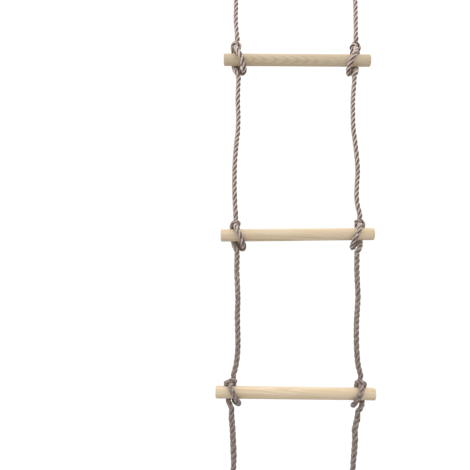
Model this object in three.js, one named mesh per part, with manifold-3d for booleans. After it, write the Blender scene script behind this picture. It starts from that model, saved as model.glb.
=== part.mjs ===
// A rope ladder: three turned wooden rungs held by a marlinspike hitch on each of two side ropes, which hang
// from two steel rings. Millimetres, +Z up, X along the rungs, the front faces -Y. The origin is midway
// between the tops of the two rings.

import * as THREE from 'three';
import { mergeVertices } from 'three/addons/utils/BufferGeometryUtils.js';
import Module from 'manifold-3d';

const wasm = await Module();
wasm.setup();

// ---- Driving dimensions ----

const RUNG_LENGTH = 300;
const RUNG_RADIUS = 12.5;
const RUNG_EDGE = 2.5; // rounded edge at each end
const RUNG_SIDES = 24;

const ROPE_RADIUS = 5;
const ROPE_SIDES = 8;
const ROPE_STEP = 22; // length of one straight facet of a hanging rope
const KNOT_STEP = 10;
const FACE_GAP = 0.3; // between pieces that touch
const JOINT_GAP = 0.5; // between a rope's rounded end and the flat face above it
const OPEN_PIVOT_GAP = 7; // extra room at the top of a right-hand rope, where its bay's linkage is opened

const HANG_X = 124; // half the distance between the two hangers
const RING_RADIUS = 21; // to the middle of the wire
const RING_WIRE = 3;
const EYE_SHOULDER = 12.5; // half the eye's width where it starts to close
const THIMBLE_SHOULDER = 5.7;
const THIMBLE_INNER = 9; // radius inside the crown
const THIMBLE_WALL = 1.5;
const THIMBLE_WIDTH = 13;
const THIMBLE_FLANGE = 2.2; // height of the side walls above the groove
const CROWN_PLAY = 1.8; // between the ring's wire and the thimble's crown
const EYE_DROP = 40; // from the crown's centre to the top of the seizing
const SEIZING_LENGTH = 28;
const SEIZING_WALL = 1.6;

const SEIZING_GAP = 4; // below the seizing, so that its cut face clears a swaying rope

const KNOT_RISE = 13; // from the top of a knot's loop to the pivot above it
const SEAT_DROP = 42; // from a rung's centre to the bend below its knots
const BEND_LENGTH = 24; // short length of rope between the fold and the sway axes
const STOPPER_TOP = -1074;
const STOPPER_RADIUS = 12;
const STOPPER_HEIGHT = 22;
const WHIPPING_WALL = 1;
const TAIL_END = -1112;

// ---- Places worked out from them ----

const HANG_Z = -(2 * RING_RADIUS + RING_WIRE); // middle of the ring's wire, where the thimble bears
const CROWN_Z = HANG_Z - (THIMBLE_INNER - RING_WIRE - CROWN_PLAY);
const EYE_RADIUS = THIMBLE_INNER + THIMBLE_WALL + FACE_GAP + ROPE_RADIUS;
const LEG_Y = ROPE_RADIUS + FACE_GAP / 2; // the eye's two legs lie side by side in the seizing
const LADDER_Y = -LEG_Y; // so the ladder hangs under the front leg
const SEIZING_TOP = CROWN_Z - EYE_DROP;
const SEIZING_BOTTOM = SEIZING_TOP - SEIZING_LENGTH;
const ROPE_TOP = SEIZING_BOTTOM - ROPE_RADIUS - JOINT_GAP - SEIZING_GAP;

// Each rung: its centre, its tilt, where its two knots sit, and how high the knots' top loops reach.
// A knot's "in" and "out" are the rope's places above and below it.
const RUNGS = [
  {
    name: 'top', x: 1, z: -263, tilt: -0.4, loop: 37,
    left: { x: -121, in: -121.5, out: -119 }, right: { x: 118, in: 123, out: 117 },
  },
  {
    name: 'middle', x: -4, z: -625.5, tilt: 0.6, loop: 28,
    left: { x: -122.5, in: -124.5, out: -122 }, right: { x: 115.5, in: 119, out: 111 },
  },
  {
    name: 'bottom', x: -12.5, z: -927.5, tilt: -0.7, loop: 20,
    left: { x: -131, in: -129, out: -132.5 }, right: { x: 107, in: 111, out: 103 },
  },
];

// A rope's route through each rung's marlinspike hitch, as [towards the ladder's middle, y, z] from the knot's
// centre: down behind the top loop, over the rung's front, round under it, up its back, over the standing rope
// as the top loop, down the rung's back again and out below.
const HITCHES = {
  top: [
    [0, 0, 50], [0, 1.5, 42], [-1, 2.5, 36.5], [-3, -2, 31], [-3, -8, 25], [-1.5, -14, 17], [3, -18.5, 7],
    [8, -18.8, -4], [12, -14, -16], [14, -4, -25.5], [10.5, 8, -26.5], [3.5, 15.5, -17], [2, 19, -2],
    [2.5, 15.5, 12], [1, 9, 22], [1.5, 6, 29], [3, 0, 34], [-1, -4, 38], [-6, -3, 36], [-8.5, 2, 31],
    [-8, 7.5, 24], [-8.5, 13.5, 14], [-8, 19, 2], [-6.5, 16, -10], [-5, 8.5, -19.5], [-3.5, 1.5, -24.5],
    [-1.5, -1.5, -28], [0, -1, -31.5], [0, 0, -34.5], [0, 0, -36.5],
  ],
  middle: [
    [0, 0, 41], [0, 1.5, 34], [-1, 3, 27.5], [-2.5, -2, 23.5], [-2.5, -9, 19], [0, -15.5, 12],
    [3.5, -18.8, 3], [8, -18.3, -6], [12, -13, -17], [14, -3, -25], [10.5, 8, -25.5], [3.5, 15.5, -16.5],
    [2, 19, -2], [2, 15, 12], [0.5, 8.5, 20], [1.5, 5, 25], [3, 0, 28], [-1.5, -4.5, 30],
    [-6.5, -3.5, 26.5], [-9, 1, 21.5], [-9.5, 8.5, 18.5], [-9.5, 15.5, 11], [-8.5, 19, 1],
    [-6.5, 16, -10], [-4.5, 8.5, -19], [-3, 1.5, -24], [-1, -1.5, -28], [0, -1, -31.5], [0, 0, -34.5],
    [0, 0, -36.5],
  ],
  bottom: [
    [0, 0, 33], [1.5, 1, 28.5], [0, 0.5, 24], [-3.5, -8.5, 18.5], [-3, -15.5, 11], [-0.5, -18.8, 4],
    [4, -18.5, -5], [9, -14, -13.5], [12.3, -4, -19], [10.5, 6.5, -20.5], [3, 14.5, -15], [2, 19, -1],
    [3, 16.5, 9.5], [2, 10.5, 17], [3, 4.5, 22.5], [3.5, -2, 26.5], [-1, -7.5, 26.5], [-6.5, -8.5, 22],
    [-11, -2, 21], [-11.5, 7.5, 19], [-10.5, 15, 11], [-9, 19, 1], [-8, 16, -9], [-7, 8.5, -17.5],
    [-4.5, 2, -22], [-1.5, -1.5, -26], [0, -1, -30.5], [0, 0, -34.5], [0, 0, -36.5],
  ],
};
// The top of a hitch is pulled down on its rung: points over ARCH_FROM come down, by up to ARCH_DROP within
// ARCH_RAMP, to the nearest half millimetre. The first point, where the rope comes in, stays.
const ARCH_FROM = 12;
const ARCH_RAMP = 10;
const ARCH_DROP = 3;
const LEAN = [1, 1, 0.5]; // share of the offset of the rope outside that each end point of a hitch follows

// The ropes between the rungs, as [x, y from the ladder's plane, z], top to bottom.
const ROUTES = {
  top: {
    left: [[-124, 0, -150], [-124.5, 0.5, -175], [-122, 0, -205]],
    right: [[124, 0, -150], [123.5, -0.5, -175], [123, 0, -205]],
  },
  upper: {
    left: [
      [-120, 0, -335], [-120.5, 1, -350], [-119.5, 1.5, -382], [-120.5, 1, -416], [-122.5, 0, -433],
      [-125.5, -1, -466], [-127, -1.5, -500], [-127, -1, -540], [-125.5, 0, -575],
    ],
    right: [
      [114, 0, -335], [112.5, -1, -350], [111.5, -1.5, -382], [111.5, -1, -408], [114, 0, -433],
      [117, 1, -466], [118, 1.5, -496], [115.5, 1, -525], [114, 0.5, -548], [115.5, 0, -568],
    ],
  },
  lower: {
    left: [
      [-122.5, 0, -698], [-121.5, -1, -720], [-120.5, -1.5, -752], [-121.5, -1, -783], [-120.5, 0, -826],
      [-121, 1, -851], [-124.5, 0.5, -877],
    ],
    right: [
      [110, 0, -698], [110.5, 1, -722], [111, 1.5, -745], [109, 1, -768], [106.5, 0, -792],
      [105, -1, -822], [105, -1, -851], [107, -0.5, -877],
    ],
  },
};
const TAILS = {
  left: [[-129.5, 0.5, -1015], [-128.5, 0.5, -1040], [-128.5, 0, -1062]],
  right: [[97, -0.5, -1008], [95, -0.5, -1030], [92, 0, -1062]],
};
// The short bends below the rungs, as the x of their upper and lower ends.
const BENDS = {
  upper: { left: [-119, -120], right: [117, 114.5] },
  lower: { left: [-122, -122.5], right: [111, 110] },
  tail: { left: [-132.5, -130.5], right: [103, 97] },
};

// ---- Materials ----

function material(color, roughness, metalness) {
  return new THREE.MeshStandardMaterial({ color, roughness, metalness });
}

const WOOD = material(0xdcc6a2, 0.6, 0);
const ROPE = material(0xa28b80, 0.9, 0);
const STEEL = material(0xb4b6b8, 0.4, 1);
const TWINE = material(0x3a322d, 0.8, 0);

// ---- Geometry helpers ----

const ladder = new THREE.Group();

function add(name, geometry, baseMaterial) {
  const mesh = new THREE.Mesh(geometry, baseMaterial.clone());
  mesh.name = name;
  ladder.add(mesh);
  return mesh;
}

function toSolid(geometry) {
  const bare = geometry.clone();
  bare.deleteAttribute('normal');
  bare.deleteAttribute('uv');
  const merged = mergeVertices(bare, 1e-4);
  return new wasm.Manifold(new wasm.Mesh({
    numProp: 3,
    vertProperties: new Float32Array(merged.attributes.position.array),
    triVerts: new Uint32Array(merged.index.array),
  }));
}

function toGeometry(solid) {
  const mesh = solid.getMesh();
  const geometry = new THREE.BufferGeometry();
  geometry.setAttribute('position', new THREE.BufferAttribute(new Float32Array(mesh.vertProperties), 3));
  geometry.setIndex(new THREE.BufferAttribute(new Uint32Array(mesh.triVerts), 1));
  geometry.computeVertexNormals();
  return geometry;
}

const union = (geometries) => toGeometry(geometries.map(toSolid).reduce((whole, next) => whole.add(next)));

function polygon(radius, sides) {
  const corners = Array.from({ length: sides }, (_, i) => {
    const angle = (2 * Math.PI * (i + 0.5)) / sides;
    return new THREE.Vector2(radius * Math.cos(angle), radius * Math.sin(angle));
  });
  return new THREE.Shape(corners);
}

const smooth = (points) => new THREE.CatmullRomCurve3(points.map((p) => new THREE.Vector3(...p)), false);

function tube(curve, step, radius = ROPE_RADIUS) {
  const steps = Math.max(1, Math.round(curve.getLength() / step));
  return new THREE.ExtrudeGeometry(polygon(radius, ROPE_SIDES), { steps, extrudePath: curve });
}

// One stretch of a longer curve, from share a to share b of its length.
class Stretch extends THREE.Curve {
  constructor(whole, a, b) {
    super();
    Object.assign(this, { whole, a, b });
  }

  getPoint(t, target = new THREE.Vector3()) {
    return this.whole.getPointAt(this.a + (this.b - this.a) * t, target);
  }
}

function ball(place) {
  return new THREE.SphereGeometry(ROPE_RADIUS, 8, 6).translate(...place);
}

// A rope that hangs from the pivot at its first point: a round top end, and a flat lower face.
function hangingRope(points) {
  return union([tube(smooth(points), ROPE_STEP), ball(points[0])]);
}

// ---- Rungs ----

function rungGeometry(radius, length, edge) {
  const half = length / 2;
  const profile = [new THREE.Vector2(0, -half)];
  for (const end of [-1, 1]) {
    for (let i = 0; i <= 3; i += 1) {
      const angle = (Math.PI / 2) * (end < 0 ? i / 3 : 1 - i / 3);
      const out = radius - edge + edge * Math.sin(angle);
      profile.push(new THREE.Vector2(out, end * (half - edge + edge * Math.cos(angle))));
    }
  }
  profile.push(new THREE.Vector2(0, half));
  return new THREE.LatheGeometry(profile, RUNG_SIDES).rotateZ(-Math.PI / 2);
}

function placeOnLadder(geometry, rung) {
  const tilt = THREE.MathUtils.degToRad(rung.tilt);
  return geometry.rotateY(-tilt).translate(rung.x, LADDER_Y, rung.z);
}

function addRung(rung) {
  const geometry = rungGeometry(RUNG_RADIUS, RUNG_LENGTH, RUNG_EDGE);
  add(`rung_${rung.name}`, placeOnLadder(geometry, rung), WOOD);
}

// ---- Knots ----

// Height of a rung's centreline above its centre, at x.
const rise = (rung, x) => Math.tan(THREE.MathUtils.degToRad(rung.tilt)) * (x - rung.x);

// The pivot at the top of a knot, where the rope above it ends.
function knotTop(rung, side) {
  return [rung[side].in, LADDER_Y, rung.z + rung.loop + KNOT_RISE];
}

function pulledDown(z) {
  const share = Math.min(Math.max((z - ARCH_FROM) / ARCH_RAMP, 0), 1);
  return Math.round(2 * (z - ARCH_DROP * share)) / 2;
}

// A hitch's route, with its ends leaning to meet the ropes above and below it.
function hitch(name, into, out) {
  const points = HITCHES[name];
  return points.map(([across, y, z], i) => {
    const above = LEAN[i] ?? 0;
    const below = LEAN[points.length - 1 - i] ?? 0;
    return [across + above * into + below * out, y, i === 0 ? z : pulledDown(z)];
  });
}

function addKnot(rung, side) {
  const inward = side === 'left' ? 1 : -1;
  const { x, in: into, out } = rung[side];
  const route = hitch(rung.name, (into - x) * inward, (out - x) * inward);
  const points = route.map(([across, y, z], i) => {
    const atEnd = i === 0 || i >= route.length - 2; // the ends keep the height of their pivots
    return [x + across * inward, LADDER_Y + y, rung.z + z + (atEnd ? 0 : rise(rung, x))];
  });
  const whole = smooth(points); // made as two tubes, because the rope lies against itself
  const down = tube(new Stretch(whole, 0, 0.51), KNOT_STEP);
  const back = tube(new Stretch(whole, 0.49, 1), KNOT_STEP);
  add(`knot_${rung.name}_${side}`, union([down, back, ball(points[0])]), ROPE);
}

// ---- Ropes between the knots ----

// The pivot at the lower end of a bend, where the rope below it starts.
function pivotBelow(name, rung, side) {
  return [BENDS[name][side][1], LADDER_Y, rung.z - SEAT_DROP - BEND_LENGTH];
}

// The short bend below a rung's knots, from the fold axis down to the sway axis.
function addBend(name, rung, side) {
  const end = pivotBelow(name, rung, side);
  const opened = side === 'right' && name !== 'tail';
  end[2] += ROPE_RADIUS + JOINT_GAP + (opened ? OPEN_PIVOT_GAP : 0);
  add(`bend_${name}_${side}`, hangingRope([[BENDS[name][side][0], LADDER_Y, rung.z - SEAT_DROP], end]), ROPE);
}

function addSpan(name, side, top, nextRung) {
  const end = knotTop(nextRung, side);
  end[2] += ROPE_RADIUS + JOINT_GAP;
  const middle = ROUTES[name][side].map(([x, y, z]) => [x, LADDER_Y + y, z]);
  add(`rope_${name}_${side}`, hangingRope([top, ...middle, end]), ROPE);
}

function addTail(side) {
  const points = TAILS[side].map(([x, y, z]) => [x, LADDER_Y + y, z]);
  const [endX] = points[points.length - 1];
  points.push([endX, LADDER_Y, STOPPER_TOP + FACE_GAP]);
  add(`tail_${side}`, hangingRope([pivotBelow('tail', RUNGS[2], side), ...points]), ROPE);
  addStopper(side, endX);
}

// The stopper knot at a tail's end, and the bound end of the rope below it.
function addStopper(side, x) {
  const half = STOPPER_HEIGHT / 2;
  const flat = STOPPER_RADIUS / 2;
  const profile = [new THREE.Vector2(0, -half)];
  for (let i = 0; i <= 6; i += 1) {
    const angle = Math.PI * (i / 6) - Math.PI / 2;
    profile.push(new THREE.Vector2(flat + (STOPPER_RADIUS - flat) * Math.cos(angle), half * Math.sin(angle)));
  }
  profile.push(new THREE.Vector2(0, half));
  const knot = new THREE.LatheGeometry(profile, 16).rotateX(Math.PI / 2);
  add(`stopper_${side}`, knot.translate(x, LADDER_Y, STOPPER_TOP - half), ROPE);
  const top = STOPPER_TOP - STOPPER_HEIGHT - FACE_GAP;
  const radius = ROPE_RADIUS + WHIPPING_WALL;
  const end = new THREE.CylinderGeometry(radius, radius, top - TAIL_END, 12).rotateX(Math.PI / 2);
  add(`whipping_${side}`, end.translate(x, LADDER_Y, (top + TAIL_END) / 2), TWINE);
}

// ---- Hangers ----

// The outline of a teardrop eye: its crown's radius, half its width at the shoulder, and its leg's place.
function eyePath(crown, shoulder, leg, bottom) {
  const points = [[0, leg, bottom], [0, leg, bottom + 3], [0, shoulder, CROWN_Z - 20]];
  for (let i = 0; i <= 8; i += 1) {
    const angle = (Math.PI * i) / 8;
    points.push([0, crown * Math.cos(angle), CROWN_Z + crown * Math.sin(angle)]);
  }
  points.push([0, -shoulder, CROWN_Z - 20], [0, -leg, bottom + 3], [0, -leg, bottom]);
  return points;
}

function addHanger(side) {
  const x = side === 'left' ? -HANG_X : HANG_X;
  const ring = new THREE.TorusGeometry(RING_RADIUS, RING_WIRE, 8, 24).rotateX(Math.PI / 2);
  add(`ring_${side}`, ring.translate(x, 0, HANG_Z + RING_RADIUS), STEEL);

  const eye = tube(smooth(eyePath(EYE_RADIUS, EYE_SHOULDER, LEG_Y, SEIZING_TOP + FACE_GAP)), 6);
  add(`eye_${side}`, eye.translate(x, 0, 0), ROPE);

  const wall = THIMBLE_WALL / 2;
  const path = eyePath(THIMBLE_INNER + wall, THIMBLE_SHOULDER, wall + FACE_GAP, CROWN_Z - 30);
  add(`thimble_${side}`, thimble(path).translate(x, 0, 0), STEEL);

  const halfWidth = ROPE_RADIUS + SEIZING_WALL;
  const outline = new THREE.Shape();
  outline.absarc(0, LEG_Y, halfWidth, 0, Math.PI, false);
  outline.absarc(0, -LEG_Y, halfWidth, Math.PI, 2 * Math.PI, false);
  const solid = { depth: SEIZING_LENGTH, bevelEnabled: false, curveSegments: 10 };
  const seizing = new THREE.ExtrudeGeometry(outline, solid);
  add(`seizing_${side}`, seizing.translate(x, 0, SEIZING_BOTTOM), TWINE);
}

// A grooved channel bent round the eye, open at its point.
function thimble(points) {
  const half = THIMBLE_WIDTH / 2;
  const wall = THIMBLE_WALL / 2;
  const rim = half - THIMBLE_WALL;
  const top = -wall - THIMBLE_FLANGE; // outwards is the section's -y
  const channel = new THREE.Shape([
    new THREE.Vector2(half, wall), new THREE.Vector2(-half, wall), new THREE.Vector2(-half, top),
    new THREE.Vector2(-rim, top), new THREE.Vector2(-rim, -wall), new THREE.Vector2(rim, -wall),
    new THREE.Vector2(rim, top), new THREE.Vector2(half, top),
  ]);
  return new THREE.ExtrudeGeometry(channel, { steps: 18, extrudePath: smooth(points) });
}

// ---- The ladder ----

for (const rung of RUNGS) addRung(rung);
for (const side of ['left', 'right']) {
  addHanger(side);
  for (const rung of RUNGS) addKnot(rung, side);
  addSpan('top', side, [side === 'left' ? -HANG_X : HANG_X, LADDER_Y, ROPE_TOP], RUNGS[0]);
  ['upper', 'lower'].forEach((name, i) => {
    addBend(name, RUNGS[i], side);
    addSpan(name, side, pivotBelow(name, RUNGS[i], side), RUNGS[i + 1]);
  });
  addBend('tail', RUNGS[2], side);
  addTail(side);
}

export default ladder;
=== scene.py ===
"""The looks of a hanging rope ladder: three wooden rungs knotted into two laid ropes under steel rings.

Metres, +Z up, X along the rungs, the front faces -Y. Each side's rope is one line from its eye to its
tail. It is worked out once, and then cut into pieces that each cross one joint at most.
"""

import math

import bpy
import numpy as np
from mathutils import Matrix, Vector


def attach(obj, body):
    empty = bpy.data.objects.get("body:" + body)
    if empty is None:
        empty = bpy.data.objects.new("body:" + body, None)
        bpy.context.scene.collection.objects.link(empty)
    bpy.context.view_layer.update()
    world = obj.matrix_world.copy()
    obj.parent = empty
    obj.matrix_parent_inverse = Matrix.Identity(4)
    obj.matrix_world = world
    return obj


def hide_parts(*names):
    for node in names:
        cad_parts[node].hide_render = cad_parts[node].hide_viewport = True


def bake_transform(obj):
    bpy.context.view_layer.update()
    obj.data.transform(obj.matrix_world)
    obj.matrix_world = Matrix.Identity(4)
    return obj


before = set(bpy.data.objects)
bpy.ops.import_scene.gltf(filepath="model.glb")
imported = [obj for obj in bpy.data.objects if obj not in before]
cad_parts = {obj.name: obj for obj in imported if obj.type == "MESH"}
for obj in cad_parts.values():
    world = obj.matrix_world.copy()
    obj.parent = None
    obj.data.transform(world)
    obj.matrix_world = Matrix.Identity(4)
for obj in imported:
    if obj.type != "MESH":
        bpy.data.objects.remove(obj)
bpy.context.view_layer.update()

# ---- Driving dimensions ----

ROPE_RADIUS = 0.005
NIP_RADIUS = 0.0033  # half the rope's thickness where a knot's loop squeezes it
LAY_PITCH = 0.0345  # length of one full turn of the strands
STRANDS = 3
RING_POINTS = 72  # round the rope
YARNS = 20  # seen round the rope
KNOT_RADIUS = 0.0054
TIGHT_RADIUS = 0.0047  # what a knot's turns keep to while it is pulled tight
BAY_RADII = {"top": 0.0048, "upper": 0.005, "lower": 0.0056, "tail": 0.0061}  # fluffier further down
ROPE_STEP = 0.0015
KNOT_STEP = 0.002

RUNG_LENGTH = 0.3
RUNG_RADIUS = 0.0125
RUNG_EDGE = 0.0028

HANG_X = 0.124
HANG_Z = -0.045
RING_RADIUS = 0.021
RING_WIRE = 0.003
CROWN_Z = -0.0492
THIMBLE_INNER = 0.009
THIMBLE_WALL = 0.0015
THIMBLE_HALF = 0.0065  # half the channel's width
THIMBLE_LIP = 0.0022
THIMBLE_SHOULDER = 0.0057
THIMBLE_DROP = 0.03  # from the crown's centre to the thimble's point
EYE_RADIUS = 0.0158
EYE_SHOULDER = 0.0125
SHOULDER_DROP = 0.02  # from the crown's centre to the shoulders
LEG_Y = 0.00515
LEG_Z = -0.105  # a place on the legs, inside the seizing
EYE_TIP = -0.1215  # where the short leg ends
EYE_CUT = -0.107  # where the eye's piece meets the rope below
LADDER_Y = -LEG_Y
SEIZING_TOP = -0.0892
SEIZING_BOTTOM = -0.1172
TOP_SWAY_Z = -0.1267  # the top ropes' own joint
TWINE_RADIUS = 0.00095
TWINE_GAP = 1.01  # spacing of its turns, as a share of its thickness

KNOT_RISE = 0.013  # from the reach of a knot's top loop to the joint above it
SEAT_DROP = 0.042  # from a rung to the joint below it
BEND_LENGTH = 0.024
END_REACH = 0.031  # how far a left-hand rope's end piece reaches above the joint at its knot
SWAY_REACH = 0.01  # half the length of the bend at a joint where a rope begins
FOLD_REACH = 0.009  # half the length of the bend at a joint below a rung
FOLD_CUT = 0.012  # from a joint below a rung to the next piece of rope
TAIL_CUT = -1.066
STOPPER_Z = -1.085
TAIL_END = -1.112
WHIPPING_TOP = -1.1
WHIPPED_RADIUS = 0.005  # the rope's, under the tight twine

# Each rung: its centre, its tilt in degrees, where its two knots sit, and how high their top loops reach.
# girth is its thickness as a share of the nominal one. A knot's "in" and "out" are the rope's places above
# and below it.
RUNGS = {
    "top": dict(
        x=0.001, z=-0.263, tilt=-0.4, loop=0.037, girth=1.0,
        left={"x": -0.121, "in": -0.1215, "out": -0.119}, right={"x": 0.118, "in": 0.123, "out": 0.117},
    ),
    "middle": dict(
        x=-0.004, z=-0.6255, tilt=0.6, loop=0.028, girth=0.97,
        left={"x": -0.1225, "in": -0.1245, "out": -0.122}, right={"x": 0.1155, "in": 0.119, "out": 0.111},
    ),
    "bottom": dict(
        x=-0.0125, z=-0.9275, tilt=-0.7, loop=0.02, girth=0.94,
        left={"x": -0.131, "in": -0.129, "out": -0.1325}, right={"x": 0.107, "in": 0.111, "out": 0.103},
    ),
}

# The rope's route through each rung's marlinspike hitch, as (towards the ladder's middle, y, z) from the
# knot's centre: down behind the top loop, over the rung's front, round under it, up its back, over the
# standing rope as the top loop, down the rung's back again and out below.
HITCHES = {
    "top": [
        (0, 0, .05), (0, .0015, .042), (-.001, .0025, .0365), (-.003, -.002, .031), (-.003, -.008, .025),
        (-.0015, -.014, .017), (.003, -.0185, .007), (.008, -.0188, -.004), (.012, -.014, -.016),
        (.014, -.004, -.0255), (.0105, .008, -.0265), (.0035, .0155, -.017), (.002, .019, -.002),
        (.0025, .0155, .012), (.001, .009, .022), (.0015, .006, .029), (.003, 0, .034),
        (-.001, -.004, .038), (-.006, -.003, .036), (-.0085, .002, .031), (-.008, .0075, .024),
        (-.0085, .0135, .014), (-.008, .019, .002), (-.0065, .016, -.01), (-.005, .0085, -.0195),
        (-.0035, .0015, -.0245), (-.0015, -.0015, -.028), (0, -.001, -.0315), (0, 0, -.0345),
        (0, 0, -.0365),
    ],
    "middle": [
        (0, 0, .041), (0, .0015, .034), (-.001, .003, .0275), (-.0025, -.002, .0235),
        (-.0025, -.009, .019), (0, -.0155, .012), (.0035, -.0188, .003), (.008, -.0183, -.006),
        (.012, -.013, -.017), (.014, -.003, -.025), (.0105, .008, -.0255), (.0035, .0155, -.0165),
        (.002, .019, -.002), (.002, .015, .012), (.0005, .0085, .02), (.0015, .005, .025),
        (.003, 0, .028), (-.0015, -.0045, .03), (-.0065, -.0035, .0265), (-.009, .001, .0215),
        (-.0095, .0085, .0185), (-.0095, .0155, .011), (-.0085, .019, .001), (-.0065, .016, -.01),
        (-.0045, .0085, -.019), (-.003, .0015, -.024), (-.001, -.0015, -.028), (0, -.001, -.0315),
        (0, 0, -.0345), (0, 0, -.0365),
    ],
    "bottom": [
        (0, 0, .033), (.0015, .001, .0285), (0, .0005, .024), (-.0035, -.0085, .0185),
        (-.003, -.0155, .011), (-.0005, -.0188, .004), (.004, -.0185, -.005), (.009, -.014, -.0135),
        (.0123, -.004, -.019), (.0105, .0065, -.0205), (.003, .0145, -.015), (.002, .019, -.001),
        (.003, .0165, .0095), (.002, .0105, .017), (.003, .0045, .0225), (.0035, -.002, .0265),
        (-.001, -.0075, .0265), (-.0065, -.0085, .022), (-.011, -.002, .021), (-.0115, .0075, .019),
        (-.0105, .015, .011), (-.009, .019, .001), (-.008, .016, -.009), (-.007, .0085, -.0175),
        (-.0045, .002, -.022), (-.0015, -.0015, -.026), (0, -.001, -.0305), (0, 0, -.0345),
        (0, 0, -.0365),
    ],
}
# The top of a hitch is pulled down on its rung: points over ARCH_FROM come down, by up to ARCH_DROP within
# ARCH_RAMP, to the nearest half millimetre. The first point, where the rope comes in, stays.
ARCH_FROM = 0.012
ARCH_RAMP = 0.01
ARCH_DROP = 0.003
LEAN = (1, 1, 0.5)  # share of the offset of the rope outside that each end point of a hitch follows
NIP_FROM, NIP_FULL = 0.012, 0.006  # the squeeze under a top loop, from its reach downwards

# The ropes between the rungs, as (x, y from the ladder's plane, z), top to bottom.
ROUTES = {
    "top": {
        "left": [(-.124, 0, -.15), (-.1245, .0005, -.175), (-.122, 0, -.205)],
        "right": [(.124, 0, -.15), (.1235, -.0005, -.175), (.123, 0, -.205)],
    },
    "upper": {
        "left": [
            (-.12, 0, -.335), (-.1205, .001, -.35), (-.1195, .0015, -.382), (-.1205, .001, -.416),
            (-.1225, 0, -.433), (-.1255, -.001, -.466), (-.127, -.0015, -.5), (-.127, -.001, -.54),
            (-.1255, 0, -.575),
        ],
        "right": [
            (.114, 0, -.335), (.1125, -.001, -.35), (.1115, -.0015, -.382), (.1115, -.001, -.408),
            (.114, 0, -.433), (.117, .001, -.466), (.118, .0015, -.496), (.1155, .001, -.525),
            (.114, .0005, -.548), (.1155, 0, -.568),
        ],
    },
    "lower": {
        "left": [
            (-.1225, 0, -.698), (-.1215, -.001, -.72), (-.1205, -.0015, -.752), (-.1215, -.001, -.783),
            (-.1205, 0, -.826), (-.121, .001, -.851), (-.1245, .0005, -.877),
        ],
        "right": [
            (.11, 0, -.698), (.1105, .001, -.722), (.111, .0015, -.745), (.109, .001, -.768),
            (.1065, 0, -.792), (.105, -.001, -.822), (.105, -.001, -.851), (.107, -.0005, -.877),
        ],
    },
    "tail": {
        "left": [(-.1295, .0005, -1.015), (-.1285, .0005, -1.04), (-.1285, 0, -1.062)],
        "right": [(.097, -.0005, -1.008), (.095, -.0005, -1.03), (.092, 0, -1.062)],
    },
}
# The short bends below the rungs, as the x of their upper and lower ends.
BENDS = {
    "upper": {"left": (-.119, -.12), "right": (.117, .1145)},
    "lower": {"left": (-.122, -.1225), "right": (.111, .11)},
    "tail": {"left": (-.1325, -.1305), "right": (.103, .097)},
}

# ---- Camera ----

CAMERA_PLACE = (-0.126, -1.2637, -0.8363)
CAMERA_PITCH = math.radians(9.5)


def make_camera():
    data = bpy.data.cameras.new("camera")
    data.lens = 50
    data.sensor_width = 36
    camera = bpy.data.objects.new("camera", data)
    camera.location = CAMERA_PLACE
    camera.rotation_euler = (math.pi / 2 + CAMERA_PITCH, 0, 0)
    bpy.context.scene.collection.objects.link(camera)
    bpy.context.scene.camera = camera


make_camera()

# ---- Lines ----


def lengths(line):
    """Distance along a line of points to each of them."""
    return np.concatenate([[0], np.cumsum(np.linalg.norm(np.diff(line[:, :3], axis=0), axis=1))])


def even(line, step):
    """The same line in even steps. Columns after the third are carried along."""
    along = lengths(line)
    places = np.linspace(0, along[-1], int(round(along[-1] / step)) + 1)
    return np.stack([np.interp(places, along, column) for column in line.T], 1)


def spline(points, step, parts=20):
    """Even steps along a centripetal Catmull-Rom curve through the points."""
    p = np.array(points, float)
    p = np.vstack([2 * p[0] - p[1], p, 2 * p[-1] - p[-2]])
    out = []
    for a, b, c, d in zip(p[:-3], p[1:-2], p[2:-1], p[3:]):
        steps = [np.linalg.norm((y - x)[:3]) ** 0.5 for x, y in ((a, b), (b, c), (c, d))]
        k1, k2, k3 = np.cumsum(steps)
        t = np.linspace(k1, k2, parts, endpoint=False)[:, None]
        ab = ((k1 - t) * a + t * b) / k1
        bc = ((k2 - t) * b + (t - k1) * c) / (k2 - k1)
        cd = ((k3 - t) * c + (t - k2) * d) / (k3 - k2)
        abc = ((k2 - t) * ab + t * bc) / k2
        bcd = ((k3 - t) * bc + (t - k1) * cd) / (k3 - k1)
        out.append(((k2 - t) * abc + (t - k1) * bcd) / (k2 - k1))
    return even(np.vstack([*out, p[-2:-1]]), step)


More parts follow.
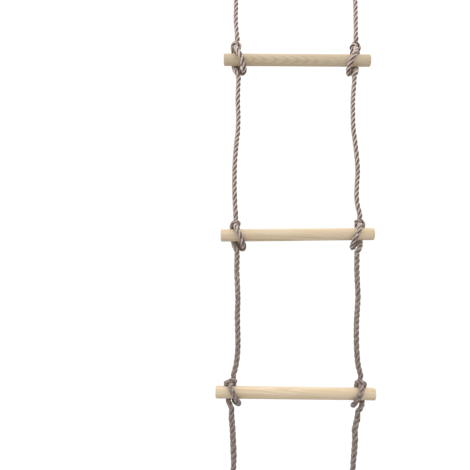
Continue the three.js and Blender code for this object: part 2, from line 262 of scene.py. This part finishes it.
def settle(points, nip, bar=0.0, rounds=220):
    """Pulls a knot's route tight: the rope lies on itself and on a bar along X, and passes through neither.

    nip is the share of the squeeze at each height. The fourth column of the result is the rope's radius.
    """
    hand = spline(points, KNOT_STEP)
    line = hand.copy()
    thick = TIGHT_RADIUS + (NIP_RADIUS - TIGHT_RADIUS) * nip(hand[:, 2])
    neighbours = 8  # steps along the rope that don't count as touching
    index = np.arange(len(line))
    far = np.abs(index[:, None] - index[None]) > neighbours
    room = thick[:, None] + thick[None]
    hold, smooth = 0.04, 0.2  # share of the way to the given route, and to the neighbours' middle
    for _ in range(rounds):
        line[1:-1] += hold * (hand[1:-1] - line[1:-1])
        line[1:-1] += smooth * ((line[:-2] + line[2:]) / 2 - line[1:-1])
        for _ in range(2):
            gap = line[:, None] - line[None]
            distance = np.linalg.norm(gap, axis=2)
            touching = far & (distance < room)
            push = np.where(touching, (room - distance) / np.maximum(distance, 1e-9), 0)
            move = (gap * push[:, :, None]).sum(1) / np.maximum(touching.sum(1), 1)[:, None] / 2
            move[[0, -1]] = 0
            line += move
            if bar:
                from_bar = np.hypot(line[:, 1], line[:, 2])
                line[:, 1:] *= np.maximum((bar + thick) / from_bar, 1)[:, None]
        line[1, :2] = line[0, :2]
        line[-2, :2] = line[-1, :2]
    gap = np.linalg.norm(line[:, None] - line[None], axis=2)
    gap[~far] = 1
    overlap = 0.0011  # the turns press into each other
    radius = np.minimum(KNOT_RADIUS, gap.min(1) / 2 + overlap)
    for _ in range(6):
        radius[1:-1] = (radius[:-2] + 2 * radius[1:-1] + radius[2:]) / 4
    return np.column_stack([line, radius])


def eye_path(crown, shoulder, leg, bottom):
    """The outline of a teardrop eye in the Y-Z plane, from its back leg over the crown to its front leg."""
    lead = 0.003  # straight at each end
    points = [(0, leg, bottom), (0, leg, bottom + lead), (0, shoulder, CROWN_Z - SHOULDER_DROP)]
    for angle in np.linspace(0, math.pi, 9):
        points.append((0, crown * math.cos(angle), CROWN_Z + crown * math.sin(angle)))
    return points + [
        (0, -shoulder, CROWN_Z - SHOULDER_DROP), (0, -leg, bottom + lead), (0, -leg, bottom),
    ]


def pulled_down(z):
    """Heights on a hitch after its top is pulled down on the rung."""
    share = np.clip((z - ARCH_FROM) / ARCH_RAMP, 0, 1)
    return np.round(2000 * (z - ARCH_DROP * share)) / 2000


def knot_line(name, side):
    """One hitch, in place, pulled tight on its rung."""
    rung = RUNGS[name]
    inward = 1 if side == "left" else -1
    knot = rung[side]
    into, out = (knot["in"] - knot["x"]) * inward, (knot["out"] - knot["x"]) * inward
    points = np.array(HITCHES[name])
    points[1:, 2] = pulled_down(points[1:, 2])
    for i, share in enumerate(LEAN):
        points[i, 0] += share * into
        points[-1 - i, 0] += share * out
    low, high = rung["loop"] - NIP_FROM, rung["loop"] - NIP_FULL
    bar = RUNG_RADIUS * rung["girth"]
    line = settle(points, lambda z: np.clip((z - low) / (high - low), 0, 1), bar)
    rise = math.tan(math.radians(rung["tilt"])) * (knot["x"] - rung["x"])
    lean = np.clip(np.minimum(np.arange(len(line)), np.arange(len(line))[::-1]) / 8, 0, 1)
    line[:, 0] = knot["x"] + line[:, 0] * inward
    line[:, 1] += LADDER_Y
    line[:, 2] += rung["z"] + rise * lean
    return line


def stopper_line(x):
    """An overhand knot round the tail's own line: the simplest knotted curve, pulled tight."""
    t = np.linspace(-2.15, 2.15, 31)
    width, height = 0.0042, -0.00078
    loop = np.column_stack([
        width * (t ** 3 - 3 * t), width * (t ** 4 - 4 * t ** 2 + 1.6), height * (t ** 5 - 10 * t),
    ])
    points = [(0, 0, 0.03), (0, 0.001, 0.024), *loop[2:-2], (0, 0.001, -0.022), (0, 0, -0.027)]
    line = settle(points, lambda z: np.clip((0.013 - np.abs(z)) / 0.004, 0, 1), rounds=260)
    return line + np.array([x, LADDER_Y, STOPPER_Z, 0])


def side_line(side):
    """The whole rope of one side, from its eye's end to its tail's end, as x, y, z and radius."""
    x = -HANG_X if side == "left" else HANG_X

    def plain(points, bay, y=LADDER_Y):
        return [np.array([px, y + py, pz, BAY_RADII[bay]]) for px, py, pz in points]

    eye = eye_path(EYE_RADIUS, EYE_SHOULDER, LEG_Y, SEIZING_TOP)
    short_leg = [(x, LEG_Y, EYE_TIP), (x, LEG_Y, LEG_Z)]
    line = plain([*short_leg, *[(x, y, z) for _, y, z in eye], (x, -LEG_Y, LEG_Z)], "top", 0)
    line += plain(ROUTES["top"][side], "top")
    for name, bay in (("top", "upper"), ("middle", "lower"), ("bottom", "tail")):
        line += list(knot_line(name, side)[::2])
        seat = RUNGS[name]["z"] - SEAT_DROP
        above, below = BENDS[bay][side]
        line += plain([(above, 0, seat), (below, 0, seat - BEND_LENGTH), *ROUTES[bay][side]], bay)
    end_x = ROUTES["tail"][side][-1][0]
    line = line[:-1] + list(stopper_line(end_x)[::2])
    line += [np.array([end_x, LADDER_Y, z, WHIPPED_RADIUS]) for z in (WHIPPING_TOP, TAIL_END)]
    return spline(line, ROPE_STEP, 8)


# ---- Meshes ----


def make_mesh(name, points, faces, material):
    mesh = bpy.data.meshes.new(name)
    mesh.from_pydata([tuple(p) for p in points], [], faces)
    mesh.polygons.foreach_set("use_smooth", [True] * len(mesh.polygons))
    mesh.materials.append(material)
    mesh.update()
    piece = bpy.data.objects.new(name, mesh)
    bpy.context.scene.collection.objects.link(piece)
    return piece


def closed_tube(rings, start, end):
    """Points and faces of rings of points joined into a closed tube, with an end point at each end."""
    count, round_ = rings.shape[:2]
    points = np.vstack([rings.reshape(-1, 3), [start], [end]])
    faces = []
    for i in range(count - 1):
        for j in range(round_):
            k = (j + 1) % round_
            a, b = i * round_, (i + 1) * round_
            faces.append((a + j, a + k, b + k, b + j))
    last = (count - 1) * round_
    for j in range(round_):
        k = (j + 1) % round_
        faces.append((k, j, count * round_))
        faces.append((last + j, last + k, count * round_ + 1))
    return points, faces


def add_uv(piece, count, round_, along):
    """A rope's own map: U once round it, V along it in centimetres."""
    layer = piece.data.uv_layers.new(name="rope")
    values = []
    for i in range(count - 1):
        for j in range(round_):
            u0, u1 = j / round_, (j + 1) / round_
            v0, v1 = along[i], along[i + 1]
            values += [u0, v0, u1, v0, u1, v1, u0, v1]
    for j in range(round_):
        u0, u1 = j / round_, (j + 1) / round_
        values += [u1, along[0], u0, along[0], (u0 + u1) / 2, along[0]]
        values += [u0, along[-1], u1, along[-1], (u0 + u1) / 2, along[-1]]
    layer.data.foreach_set("uv", values)


def carried_frames(line):
    """Two unit vectors across a line at each of its points, carried along it without twist."""
    tangents = np.gradient(line[:, :3], axis=0)
    tangents /= np.linalg.norm(tangents, axis=1)[:, None]
    across = np.empty_like(tangents)
    current = np.array([1.0, 0, 0])
    for i, tangent in enumerate(tangents):
        current = current - tangent * (current @ tangent)
        current /= np.linalg.norm(current)
        across[i] = current
    return across, np.cross(tangents, across)


class Rope:
    """One side's laid rope, from which pieces are cut."""

    DOME = (0.95, 0.78, 0.4)  # share of the radius on the rings past a cut, inside the next piece

    def __init__(self, side):
        self.side = side
        self.line = side_line(side)
        self.along = lengths(self.line)
        self.across, self.other = carried_frames(self.line)
        rng = np.random.default_rng(7 if side == "left" else 11)
        wobble = np.interp(self.along, np.arange(0, 3, 0.006), rng.normal(0, 1, 500))
        self.radius = self.line[:, 3] * (1 + 0.012 * wobble)
        self.twist = 2 * math.pi * self.along / LAY_PITCH + 0.35 * np.interp(
            self.along, np.arange(0, 3, 0.03), rng.normal(0, 1, 100)
        )

    def at(self, point, after=0):
        """Index of the place on the line nearest to a point, past the index after."""
        return after + int(np.linalg.norm(self.line[after:, :3] - np.array(point), axis=1).argmin())

    def rings(self, first, last):
        """Indices of the places from first to last and the dome past each, and the rope's outline there."""
        end = len(self.line) - 1
        dome = len(self.DOME)
        first, last = max(first, dome), min(last, end - dome)
        index = np.arange(first - dome, last + dome + 1)
        scale = np.ones(len(index))
        scale[:dome] = self.DOME[::-1]
        scale[-dome:] = self.DOME
        column = np.arange(RING_POINTS)
        share = (column * STRANDS / RING_POINTS) % 1  # place across a strand, 0 and 1 in the grooves
        turn = (share - 0.5) * 2 * math.pi / STRANDS
        lobe = 0.42 * np.cos(turn) + np.sqrt(0.58 ** 2 - (0.42 * np.sin(turn)) ** 2)
        lobe -= 0.05 * np.exp(-(((share - 0.5) / 0.07) ** 2))
        # loose fibres fill the grooves, more so further down
        fluff = np.interp(self.along[index], (0.75, 1.15, 1.4), (0, 0.2, 0.3))[:, None]
        lobe = lobe * (1 - fluff) + lobe.mean() * fluff
        angle = 2 * math.pi * column[None] / RING_POINTS + self.twist[index][:, None]
        yarn = np.abs(np.cos(YARNS / 2 * angle + 60 * self.along[index][:, None]))
        out = self.radius[index][:, None] * scale[:, None] * (lobe + 0.035 * (yarn - 0.6))
        return index, self.line[index, None, :3] + out[:, :, None] * (
            np.cos(angle)[:, :, None] * self.across[index][:, None]
            + np.sin(angle)[:, :, None] * self.other[index][:, None]
        )

    def piece(self, name, first, last, material):
        index, rings = self.rings(first, last)
        points, faces = closed_tube(rings, self.line[index[0], :3], self.line[index[-1], :3])
        piece = make_mesh(f"{name}_{self.side}", points, faces, material)
        add_uv(piece, len(index), RING_POINTS, self.along[index] * 100)
        return piece

    def path(self, first, last):
        return self.line[first:last + 1, :3]


def wound_twine(name, place, y_half, radius, top, turns):
    """Twine wound tightly round one rope, or round two that lie side by side, from the top down."""
    straight = 4 * y_half
    around = 2 * math.pi * radius + straight
    half_turn = math.pi * radius
    steps = 40
    points = []
    for i in range(turns * steps + 1):
        on = (i / steps * around) % around
        z = top - TWINE_RADIUS - i / steps * 2 * TWINE_RADIUS * TWINE_GAP
        if on < half_turn:
            angle = on / radius
            points.append((radius * math.cos(angle), y_half + radius * math.sin(angle), z))
        elif on < half_turn + straight / 2:
            points.append((-radius, y_half - (on - half_turn), z))
        elif on < 2 * half_turn + straight / 2:
            angle = math.pi + (on - half_turn - straight / 2) / radius
            points.append((radius * math.cos(angle), -y_half + radius * math.sin(angle), z))
        else:
            points.append((radius, -y_half + (on - 2 * half_turn - straight / 2), z))
    line = even(np.array(points) + (*place, 0), 0.0012)
    across, other = carried_frames(line)
    sides = 12
    turn = np.linspace(0, 2 * math.pi, sides, endpoint=False)
    twist = 0.0011  # length of twine in which it turns by one radian
    angle = turn[None] + lengths(line)[:, None] / twist
    size = TWINE_RADIUS * (1 + 0.1 * np.abs(np.cos(1.5 * turn)))
    rings = line[:, None] + size[None, :, None] * (
        np.cos(angle)[:, :, None] * across[:, None] + np.sin(angle)[:, :, None] * other[:, None]
    )
    points, faces = closed_tube(rings, line[0], line[-1])
    return make_mesh(name, points, faces, TWINE)


# ---- Materials ----


class Nodes:
    """A material's node tree, with short calls to add and join nodes."""

    def __init__(self, name):
        self.material = bpy.data.materials.new(name)
        self.material.use_nodes = True
        self.tree = self.material.node_tree
        self.shader = self.tree.nodes["Principled BSDF"]

    def add(self, kind, inputs=(), **settings):
        node = self.tree.nodes.new(kind)
        for key, value in settings.items():
            setattr(node, key, value)
        for key, value in dict(inputs).items():
            self.put(node.inputs[key], value)
        return node

    def put(self, socket, value):
        if isinstance(value, bpy.types.NodeSocket):
            self.tree.links.new(value, socket)
        else:
            socket.default_value = value

    def math(self, operation, a, b=0.5, c=0.5):
        return self.add("ShaderNodeMath", {0: a, 1: b, 2: c}, operation=operation).outputs[0]

    def ramp(self, value, low, high, to_low=0.0, to_high=1.0):
        inputs = {
            "Value": value, "From Min": low, "From Max": high, "To Min": to_low, "To Max": to_high,
        }
        return self.add("ShaderNodeMapRange", inputs, interpolation_type="SMOOTHSTEP").outputs["Result"]

    def mix(self, share, a, b, blend="MIX"):
        node = self.add("ShaderNodeMix", data_type="RGBA", blend_type=blend)
        self.put(node.inputs["Factor"], share)
        self.put(node.inputs[6], a)
        self.put(node.inputs[7], b)
        return node.outputs[2]

    def noise(self, vector, scale, detail=3.0, roughness=0.55):
        inputs = {"Vector": vector, "Scale": scale, "Detail": detail, "Roughness": roughness}
        return self.add("ShaderNodeTexNoise", inputs).outputs["Fac"]

    def vector(self, x, y, z=0.0):
        return self.add("ShaderNodeCombineXYZ", {0: x, 1: y, 2: z}).outputs[0]

    def bump(self, height, distance, strength=1.0):
        inputs = {"Height": height, "Distance": distance, "Strength": strength}
        node = self.add("ShaderNodeBump", inputs)
        self.put(self.shader.inputs["Normal"], node.outputs["Normal"])

    def finish(self, color, roughness, **fixed):
        self.put(self.shader.inputs["Base Color"], color)
        self.put(self.shader.inputs["Roughness"], roughness)
        for key, value in fixed.items():
            self.shader.inputs[key.replace("_", " ")].default_value = value
        return self.material


def rgb(red, green, blue):
    """A colour given as it looks on a screen, 0 to 255."""
    def linear(c):
        c /= 255
        return c / 12.92 if c <= 0.04045 else ((c + 0.055) / 1.055) ** 2.4
    return (linear(red), linear(green), linear(blue), 1)


def rope_material():
    """Each strand is half pale and half brown yarn. The lower rope is greyer and more mixed.

    V is the length along the rope in centimetres, so the numbers beside it are places on the rope.
    """
    n = Nodes("laid_rope")
    uv = n.add("ShaderNodeSeparateXYZ", {0: n.add("ShaderNodeUVMap", uv_map="rope").outputs[0]})
    u, v = uv.outputs[0], uv.outputs[1]
    share = n.math("FRACT", n.math("MULTIPLY", u, STRANDS))
    turned = n.math("ADD", u, n.math("MULTIPLY", v, 0.01 / LAY_PITCH))  # round the rope, free of the lay
    worn = n.ramp(v, 60, 125)

    def noise(around, scale_u, scale_v, detail, roughness=0.55):
        place = n.vector(n.math("MULTIPLY", around, scale_u), n.math("MULTIPLY", v, scale_v))
        return n.noise(place, 1.0, detail, roughness)

    yarns = noise(turned, 26, 0.9, 2.0)
    patches = noise(u, 6, 1.1, 2.0)
    fibres = noise(turned, 130, 4, 3.0, 0.7)
    teeth = n.math("MULTIPLY", n.math("SUBTRACT", yarns, 0.5), n.ramp(worn, 0, 1, 0.65, 1.4))
    drift = n.math("MULTIPLY", n.math("SUBTRACT", patches, 0.5), n.ramp(worn, 0, 1, 0.35, 0.8))
    mottle = noise(turned, 18, 1.9, 2.0, 0.6)
    mottle = n.math("MULTIPLY", n.math("SUBTRACT", mottle, 0.5), n.ramp(worn, 0, 1, 0.0, 2.2))
    edge = n.math("ADD", n.math("ADD", share, mottle), n.math("ADD", teeth, drift))
    dark = n.mix(worn, n.ramp(edge, 0.42, 0.58), n.ramp(edge, 0.25, 0.75))
    pale_yarn = n.mix(worn, rgb(238, 220, 209), rgb(196, 180, 170))
    brown_yarn = n.mix(worn, rgb(106, 78, 66), rgb(108, 86, 78))
    pale_yarn = n.mix(n.ramp(v, 114, 130, 0.0, 0.25), pale_yarn, brown_yarn)
    color = n.mix(dark, pale_yarn, brown_yarn)
    color = n.mix(n.ramp(fibres, 0.3, 0.75, 0.0, 0.35), color, rgb(84, 62, 54), "MULTIPLY")
    specks = n.ramp(noise(turned, 22, 3.2, 1.0), 0.6, 0.74)
    color = n.mix(n.math("MULTIPLY", specks, n.ramp(worn, 0, 1, 0.3, 0.65)), color, rgb(226, 214, 204))
    # painted shade: the colour is darkened towards dark brown in the grooves between the strands
    groove = n.math("ABSOLUTE", n.math("SUBTRACT", share, 0.5))
    color = n.mix(n.ramp(groove, 0.36, 0.5, 0.0, 0.6), color, rgb(58, 42, 36))
    n.bump(n.math("ADD", fibres, n.math("MULTIPLY", yarns, 0.6)), 0.0006, 0.8)
    return n.finish(color, n.ramp(fibres, 0.2, 0.8, 0.78, 0.95), Sheen_Weight=0.25, Sheen_Roughness=0.6)


def wood_material(name, pith, slope, tone):
    """Bare turned softwood. Its growth rings lie round a pith that runs past the rung at a slope.

    pith is the (y, z) of the pith from the rung's own middle. tone darkens the wood as it gets less than 1:
    painted shade, strongest on the top rung.
    """
    rung = RUNGS[name]
    n = Nodes(f"rung_wood_{name}")
    place = n.add("ShaderNodeSeparateXYZ", {0: n.add("ShaderNodeTexCoord").outputs["Object"]})
    x, y, z = place.outputs
    y = n.math("SUBTRACT", y, LADDER_Y)
    z = n.math("SUBTRACT", z, rung["z"])

    def stretched(along, across):
        scaled = [n.math("MULTIPLY", value, by) for value, by in ((x, along), (y, across), (z, across))]
        return n.vector(*scaled)

    def shade(*color):
        return rgb(*(c * tone for c in color))

    sway = n.math("MULTIPLY", n.math("SUBTRACT", n.noise(stretched(9, 30), 1.0, 2.0), 0.5), 0.006)
    from_pith = n.math("ADD", n.math("SUBTRACT", y, pith[0]), n.math("MULTIPLY", x, slope))
    above_pith = n.math("SUBTRACT", z, pith[1])
    squares = [n.math("POWER", value, 2.0) for value in (from_pith, above_pith)]
    far = n.math("SQRT", n.math("ADD", *squares))
    ring_spacing = 0.003
    rings = n.math("FRACT", n.math("DIVIDE", n.math("ADD", far, sway), ring_spacing))
    late = n.math("MULTIPLY", n.ramp(rings, 0.35, 0.9), n.ramp(rings, 0.9, 1.0, 1.0, 0.0))
    streaks = n.noise(stretched(14, 900), 1.0)
    broad = n.noise(stretched(7, 110), 1.0, 2.0)
    color = n.mix(n.ramp(broad, 0.3, 0.7), shade(236, 217, 189), shade(225, 202, 168))
    faint = n.ramp(n.noise(stretched(-16, 20), 1.0, 1.0), 0.38, 0.62, 0.15, 0.42)
    color = n.mix(n.math("MULTIPLY", late, faint), color, shade(190, 164, 116))
    color = n.mix(n.ramp(streaks, 0.45, 0.8, 0.0, 0.22), color, shade(180, 152, 118))
    n.bump(n.math("ADD", streaks, n.math("MULTIPLY", late, 0.2)), 0.0002, 0.4)
    return n.finish(color, n.ramp(streaks, 0.3, 0.8, 0.52, 0.68), Specular_IOR_Level=0.3)


def steel_material():
    """Dull galvanised steel with a faint spangle."""
    n = Nodes("galvanised_steel")
    place = n.add("ShaderNodeTexCoord").outputs["Object"]
    cells = n.add("ShaderNodeTexVoronoi", {"Vector": place, "Scale": 420}).outputs["Color"]
    spangle = n.add("ShaderNodeSeparateColor", {0: cells}).outputs[0]
    cloud = n.noise(place, 160, 4.0)
    color = n.mix(n.ramp(spangle, 0, 1, 0.2, 0.8), rgb(196, 198, 200), rgb(168, 172, 176))
    color = n.mix(n.ramp(cloud, 0.45, 0.75, 0.0, 0.4), color, rgb(140, 142, 142))
    n.bump(cloud, 0.0001, 0.4)
    return n.finish(color, n.ramp(cloud, 0.3, 0.8, 0.32, 0.55), Metallic=1.0)


def twine_material():
    n = Nodes("binding_twine")
    place = n.add("ShaderNodeTexCoord").outputs["Object"]
    fibres = n.noise(place, 1500, 3.0, 0.7)
    color = n.mix(fibres, rgb(46, 38, 33), rgb(96, 80, 68))
    n.bump(fibres, 0.0002, 0.6)
    return n.finish(color, n.ramp(fibres, 0.2, 0.8, 0.55, 0.8), Sheen_Weight=0.2)


ROPE = rope_material()
# painted shade: one wood in three copies, darkened more the higher the rung
WOOD = {
    "top": wood_material("top", (0.026, 0.011), 0.16, 0.9),
    "middle": wood_material("middle", (0.012, 0.045), 0.03, 0.965),
    "bottom": wood_material("bottom", (0.03, -0.03), -0.05, 0.98),
}
STEEL = steel_material()
TWINE = twine_material()

# ---- Rungs ----


def add_rung(name):
    """A turned rung with rounded ends, slightly out of true along its length."""
    rung = RUNGS[name]
    half = RUNG_LENGTH / 2
    ends = [
        (half - RUNG_EDGE + RUNG_EDGE * math.sin(a), RUNG_RADIUS - RUNG_EDGE + RUNG_EDGE * math.cos(a))
        for a in np.linspace(0, math.pi / 2, 9)
    ]
    face = [(half, (RUNG_RADIUS - RUNG_EDGE) * share) for share in (0.75, 0.5, 0.25)]
    profile = [(-x, r) for x, r in face[::-1] + ends[::-1]]
    profile += [(x, RUNG_RADIUS) for x in np.linspace(-half, half, 62)[1:-1]]
    profile += ends + face
    around = 72
    angle = np.linspace(0, 2 * math.pi, around, endpoint=False)
    rings = []
    for x, radius in profile:
        wavy = 0.004 * math.sin(37 * x + 900 * rung["x"])
        oval = 0.003 * np.sin(2 * angle + 21 * x)
        size = radius * (1 + wavy + oval)
        size = size * rung["girth"]
        rings.append(np.column_stack([np.full(around, x), size * np.cos(angle), size * np.sin(angle)]))
    rings = np.array(rings)
    tilt = math.radians(rung["tilt"])
    turn = np.array([
        [math.cos(tilt), 0, math.sin(tilt)], [0, 1, 0], [-math.sin(tilt), 0, math.cos(tilt)],
    ])
    # a thinner rung keeps its top where the nominal one's is
    move = np.array([rung["x"], LADDER_Y, rung["z"] + RUNG_RADIUS * (1 - rung["girth"])])
    points, faces = closed_tube(rings, (-half, 0, 0), (half, 0, 0))
    piece = make_mesh(f"turned_rung_{name}", points @ turn + move, faces, WOOD[name])
    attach(piece, f"{name}_rung")
    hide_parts(f"rung_{name}")


for rung_name in RUNGS:
    add_rung(rung_name)

# ---- Hangers ----


def swept(name, line, section, material, across=(1, 0, 0), closed=False):
    """A section swept along a flat line: (across, outwards) pairs, or one list of pairs per place."""
    tangents = np.gradient(line, axis=0)
    if closed:
        tangents = np.roll(line, -1, 0) - np.roll(line, 1, 0)
    tangents /= np.linalg.norm(tangents, axis=1)[:, None]
    side = np.array(across, float)
    out = np.cross(side, tangents)
    section = np.broadcast_to(np.array(section, float), (len(line), *np.shape(section)[-2:]))
    rings = line[:, None] + section[:, :, :1] * side + section[:, :, 1:] * out[:, None]
    if not closed:
        points, faces = closed_tube(rings, rings[0].mean(0), rings[-1].mean(0))
        return make_mesh(name, points, faces, material)
    count, round_ = rings.shape[:2]
    faces = []
    for i in range(count):
        for j in range(round_):
            k, m = (j + 1) % round_, (i + 1) % count
            faces.append((i * round_ + j, i * round_ + k, m * round_ + k, m * round_ + j))
    return make_mesh(name, rings.reshape(-1, 3), faces, material)


def add_ring(side, x):
    """A welded ring of round wire, with the weld's bead on its upper side."""
    places = 144
    turn = np.linspace(0, 2 * math.pi, places, endpoint=False)
    line = np.column_stack([
        x + RING_RADIUS * np.sin(turn), np.zeros(places),
        HANG_Z + RING_RADIUS + RING_RADIUS * np.cos(turn),
    ])
    weld = 1.1  # its place on the ring, in radians from the top
    bead = 1 + 0.1 * np.exp(-((((turn - weld) * 16) ** 2)))
    angle = np.linspace(0, 2 * math.pi, 24, endpoint=False)
    wire = RING_WIRE * bead[:, None, None] * np.stack([np.cos(angle), np.sin(angle)], 1)[None]
    ring = swept(f"welded_ring_{side}", line, wire, STEEL, (0, 1, 0), True)
    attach(ring, "root")
    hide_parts(f"ring_{side}")


def add_thimble(side, x):
    """A steel channel with a rolled rim, bent to a teardrop and open at its point."""
    wall, half, lip = THIMBLE_WALL / 2, THIMBLE_HALF, THIMBLE_LIP
    gap = 0.0003  # half the opening at the point
    outline = eye_path(THIMBLE_INNER + wall, THIMBLE_SHOULDER, wall + gap, CROWN_Z - THIMBLE_DROP)
    line = spline([(x, y, z) for _, y, z in outline], 0.001)
    middle = [(across, wall + lip * (abs(across) / half) ** 3) for across in np.linspace(-half, half, 15)]
    rim = [
        (half * 0.99 + wall * math.cos(a), wall + lip - wall + wall * math.sin(a) + 0.0004)
        for a in (1.2, 0.4, -0.4, -1.2)
    ]
    inner = [(across, -wall + lip * (abs(across) / half) ** 3) for across in np.linspace(half, -half, 15)]
    section = middle[:-1] + rim + inner[1:-1] + [(-a, b) for a, b in rim[::-1]]
    thimble = swept(f"rolled_thimble_{side}", line, section, STEEL)
    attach(thimble, "hanger")
    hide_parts(f"thimble_{side}")


def add_seizing(side, x):
    turns = int((SEIZING_TOP - SEIZING_BOTTOM) / (2 * TWINE_RADIUS * TWINE_GAP))
    seizing = wound_twine(
        f"wound_seizing_{side}", (x, 0), LEG_Y, ROPE_RADIUS + TWINE_RADIUS * 0.5, SEIZING_TOP, turns
    )
    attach(seizing, "hanger")
    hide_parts(f"seizing_{side}")


# ---- Ropes ----


def declare(rope, first, last):
    """Takes a length of the rope's line; nothing more is done with it."""
    path = rope.path(first, last)


def bend_piece(rope, name, first, last, above, below, z, reach, *replaced):
    """A piece of rope from first to last, baked where it lies, in place of the replaced parts. above,
    below, z and reach are not used.
    """
    piece = rope.piece(name, first, last, ROPE)
    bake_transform(piece)
    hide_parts(*replaced)
    return piece


def add_side(side):
    """Everything of one side, from its ring to its tail's end."""
    x = -HANG_X if side == "left" else HANG_X
    rope = Rope(side)
    add_ring(side, x)
    add_thimble(side, x)
    add_seizing(side, x)

    start = rope.at((x, LADDER_Y, EYE_CUT), rope.at((x, 0, CROWN_Z + EYE_RADIUS)))
    eye = rope.piece("eye_rope", 0, start, ROPE)
    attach(eye, "hanger")
    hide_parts(f"eye_{side}")

    above = "hanger"
    sway_z = TOP_SWAY_Z
    for bay, name in (("top", "top"), ("upper", "middle"), ("lower", "bottom")):
        rung = RUNGS[name]
        hung, body = f"{bay}_rope_{side}", f"{name}_rung"
        span_name, span_node = f"rope_{bay}_span", f"rope_{bay}_{side}"
        pivot_z = rung["z"] + rung["loop"] + KNOT_RISE
        pivot = (rung[side]["in"], LADDER_Y, pivot_z)
        if side == "left":  # the rope turns in its knot, so its lower end is a piece of its own across the joint
            middle = rope.at(((x + pivot[0]) / 2, LADDER_Y, pivot_z + END_REACH), start)
            top_knot = rope.at((pivot[0], LADDER_Y, pivot_z - 0.008), middle)
            lower = rope.piece(f"rope_{bay}_end", middle, top_knot, ROPE)
            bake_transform(lower)
            span = bend_piece(rope, span_name, start, middle, above, hung, sway_z, SWAY_REACH, span_node)
            declare(rope, start, middle)
        else:  # the rope's rounded end turns on the knot's
            top_knot = rope.at(pivot, start)
            span = bend_piece(rope, span_name, start, top_knot, above, hung, sway_z, SWAY_REACH, span_node)
            declare(rope, start, top_knot)

        seat = rung["z"] - SEAT_DROP
        next_bay = {"top": "upper", "middle": "lower", "bottom": "tail"}[name]
        above_x, below_x = BENDS[next_bay][side]
        near_seat = rope.at((above_x, LADDER_Y, seat - 0.002), top_knot) - 12  # below the hitch's own turns
        knot_end = rope.at((above_x, LADDER_Y, seat + FOLD_REACH), near_seat)
        knot = rope.piece(f"hitch_{name}", top_knot, knot_end, ROPE)
        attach(knot, body)
        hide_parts(f"knot_{name}_{side}")

        fold = f"{next_bay}_fold" if name != "bottom" else f"tail_fold_{side}"
        start = rope.at((below_x, LADDER_Y, seat - FOLD_CUT), knot_end)
        bend_name, bend_node = f"bend_below_{name}", f"bend_{next_bay}_{side}"
        bend_piece(rope, bend_name, knot_end, start, body, fold, seat, FOLD_REACH, bend_node)
        above = fold
        sway_z = seat - BEND_LENGTH

    end_x = ROUTES["tail"][side][-1][0]
    end = rope.at((end_x, LADDER_Y, TAIL_CUT), start)
    stopper = rope.piece("stopper_knot", end, len(rope.line) - 1, ROPE)
    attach(stopper, f"tail_rope_{side}")
    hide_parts(f"stopper_{side}")
    place = (end_x, LADDER_Y)
    whipping = wound_twine(f"wound_whipping_{side}", place, 0, WHIPPED_RADIUS, WHIPPING_TOP, 5)
    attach(whipping, f"tail_rope_{side}")
    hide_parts(f"whipping_{side}")
    hung = f"tail_rope_{side}"
    tail = bend_piece(rope, "tail_rope", start, end, above, hung, sway_z, SWAY_REACH, f"tail_{side}")
    declare(rope, start, end)


for rope_side in ("left", "right"):
    add_side(rope_side)

# ---- Stage ----


def add_stage():
    """A pale floor far below the ladder, without an edge in the picture."""
    mesh = bpy.data.meshes.new("floor")
    size, level = 3.3, -1.75
    corners = [(size * x, size * y, level) for x, y in ((-1, -1), (1, -1), (1, 1), (-1, 1))]
    mesh.from_pydata(corners, [], [(0, 1, 2, 3)])
    paint = Nodes("pale_floor")
    seen = paint.add("ShaderNodeLightPath").outputs["Is Camera Ray"]  # it throws back little light
    color = paint.mix(seen, rgb(178, 178, 178), rgb(250, 250, 249))
    mesh.materials.append(paint.finish(color, 0.9))
    floor = bpy.data.objects.new("floor", mesh)
    bpy.context.scene.collection.objects.link(floor)


def add_overhead():
    """A wide soft light from above, a little to the front, alike on every rung."""
    data = bpy.data.lights.new("overhead", "SUN")
    data.energy = 0.92
    data.angle = math.radians(50)
    light = bpy.data.objects.new("overhead", data)
    light.rotation_euler = Vector((-0.08, 0.2, -1)).to_track_quat("-Z", "Y").to_euler()
    bpy.context.scene.collection.objects.link(light)


def add_world():
    """A white backdrop that lights the ladder only softly."""
    world = bpy.data.worlds.new("studio")
    world.use_nodes = True
    tree = world.node_tree
    seen = tree.nodes.new("ShaderNodeLightPath").outputs["Is Camera Ray"]
    strength = tree.nodes.new("ShaderNodeMapRange")
    strength.inputs["To Min"].default_value = 1.03
    strength.inputs["To Max"].default_value = 1.05
    tree.links.new(seen, strength.inputs["Value"])
    tree.links.new(strength.outputs["Result"], tree.nodes["Background"].inputs["Strength"])
    tree.nodes["Background"].inputs["Color"].default_value = (1, 1, 1, 1)
    bpy.context.scene.world = world


bpy.context.scene.view_settings.view_transform = "Standard"
add_stage()
add_world()
add_overhead()
